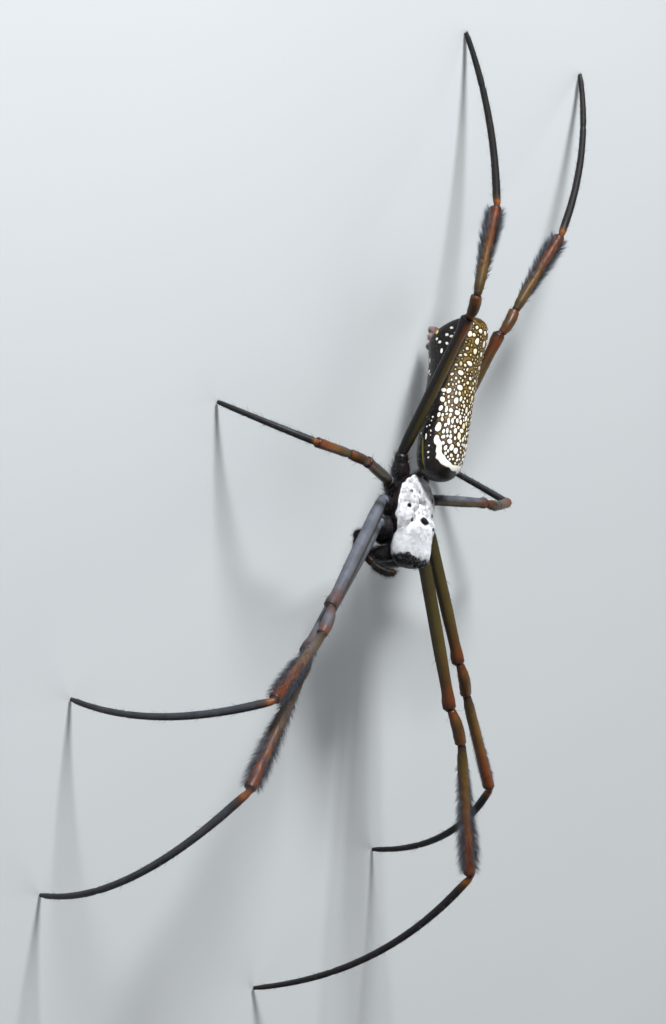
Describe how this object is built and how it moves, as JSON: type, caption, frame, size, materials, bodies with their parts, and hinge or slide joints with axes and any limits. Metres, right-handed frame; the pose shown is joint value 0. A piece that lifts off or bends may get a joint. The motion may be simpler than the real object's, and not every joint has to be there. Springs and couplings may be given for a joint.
{
  "type": "golden silk orb weaver spider",
  "caption": "Life-size still golden silk orb weaver, legs spread fore and aft, long spotted abdomen and brushed legs, resting on its feet.",
  "frame": {"origin": "middle of the box round the whole spider, on the plane that its feet stand on", "axes": "+X is the spider's left side, -Y its head end, +Y its spinnerets, +Z its back"},
  "size_m": [0.0637, 0.115, 0.0246],
  "materials": {
    "silver_hair": "short silvery hair lying flat over dark cuticle",
    "dark_cuticle": "glossy black-brown cuticle with sparse bristles",
    "brown_cuticle": "glossy reddish-brown cuticle",
    "olive_cuticle": "satin olive-brown cuticle with fine bristles",
    "rust_cuticle": "rust-brown cuticle, with a brush of blue-black hair on six of the legs",
    "grey_cuticle": "satin grey-black cuticle with fine bristles",
    "eye_lens": "polished black eye lens",
    "abdomen_skin": "satin olive-brown skin with cream-white spots and a white front band"
  },
  "bodies": {
    "root": {"leg_left_1_coxa": "brown_cuticle", "leg_left_1_femur": "olive_cuticle", "leg_left_1_tibia": "rust_cuticle", "leg_left_1_foot": "grey_cuticle", "leg_left_2_coxa": "brown_cuticle", "leg_left_2_femur": "olive_cuticle", "leg_left_2_tibia": "rust_cuticle", "leg_left_2_foot": "grey_cuticle", "leg_left_3_coxa": "brown_cuticle", "leg_left_3_femur": "olive_cuticle", "leg_left_3_tibia": "rust_cuticle", "leg_left_3_foot": "grey_cuticle", "leg_left_4_coxa": "brown_cuticle", "leg_left_4_femur": "olive_cuticle", "leg_left_4_tibia": "rust_cuticle", "leg_left_4_foot": "grey_cuticle", "leg_right_1_coxa": "brown_cuticle", "leg_right_1_femur": "olive_cuticle", "leg_right_1_tibia": "rust_cuticle", "leg_right_1_foot": "grey_cuticle", "leg_right_2_coxa": "brown_cuticle", "leg_right_2_femur": "olive_cuticle", "leg_right_2_tibia": "rust_cuticle", "leg_right_2_foot": "grey_cuticle", "leg_right_3_coxa": "brown_cuticle", "leg_right_3_femur": "olive_cuticle", "leg_right_3_tibia": "rust_cuticle", "leg_right_3_foot": "grey_cuticle", "leg_right_4_coxa": "brown_cuticle", "leg_right_4_femur": "olive_cuticle", "leg_right_4_tibia": "rust_cuticle", "leg_right_4_foot": "grey_cuticle", "cephalothorax": "silver_hair", "abdomen": "abdomen_skin", "pedicel": "dark_cuticle", "spinnerets": "brown_cuticle", "sternum": "brown_cuticle", "labium": "dark_cuticle", "chelicera_left": "dark_cuticle", "fang_left": "dark_cuticle", "maxilla_left": "dark_cuticle", "palp_left": "brown_cuticle", "eye_left_front_middle": "eye_lens", "eye_left_front_side": "eye_lens", "eye_left_rear_middle": "eye_lens", "eye_left_rear_side": "eye_lens", "chelicera_right": "dark_cuticle", "fang_right": "dark_cuticle", "maxilla_right": "dark_cuticle", "palp_right": "brown_cuticle", "eye_right_front_middle": "eye_lens", "eye_right_front_side": "eye_lens", "eye_right_rear_middle": "eye_lens", "eye_right_rear_side": "eye_lens"}
  },
  "joints": []
}
